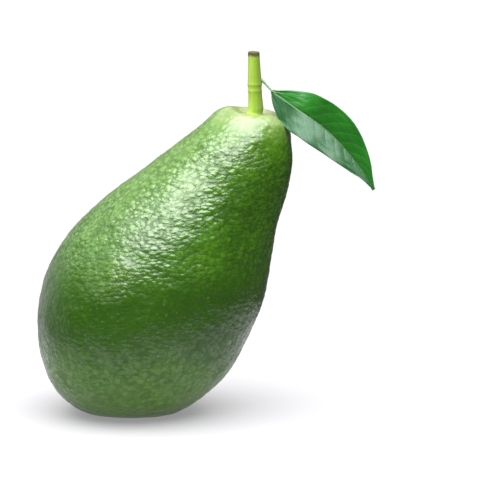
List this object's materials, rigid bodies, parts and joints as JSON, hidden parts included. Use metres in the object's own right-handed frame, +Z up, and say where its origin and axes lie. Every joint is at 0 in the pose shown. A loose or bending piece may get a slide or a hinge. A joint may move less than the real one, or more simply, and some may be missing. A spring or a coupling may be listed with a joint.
{
  "type": "avocado",
  "caption": "Whole green avocado with a pebbled glossy skin, leaning on a small flat spot, with its short cut stem and a folded leaf.",
  "frame": {"origin": "middle of the flat spot that the fruit rests on, at its lowest level", "axes": "+Z up, away from the surface it rests on; the neck leans towards +X; the leaf hangs from the stem towards +X and -Y"},
  "size_m": [0.1168, 0.0738, 0.1263],
  "materials": {
    "pebbled_skin": "gloss",
    "green_stem": "satin",
    "glossy_leaf": "gloss"
  },
  "bodies": {
    "root": {"fruit": "pebbled_skin", "stem": "green_stem", "leaf": "glossy_leaf"}
  },
  "joints": []
}
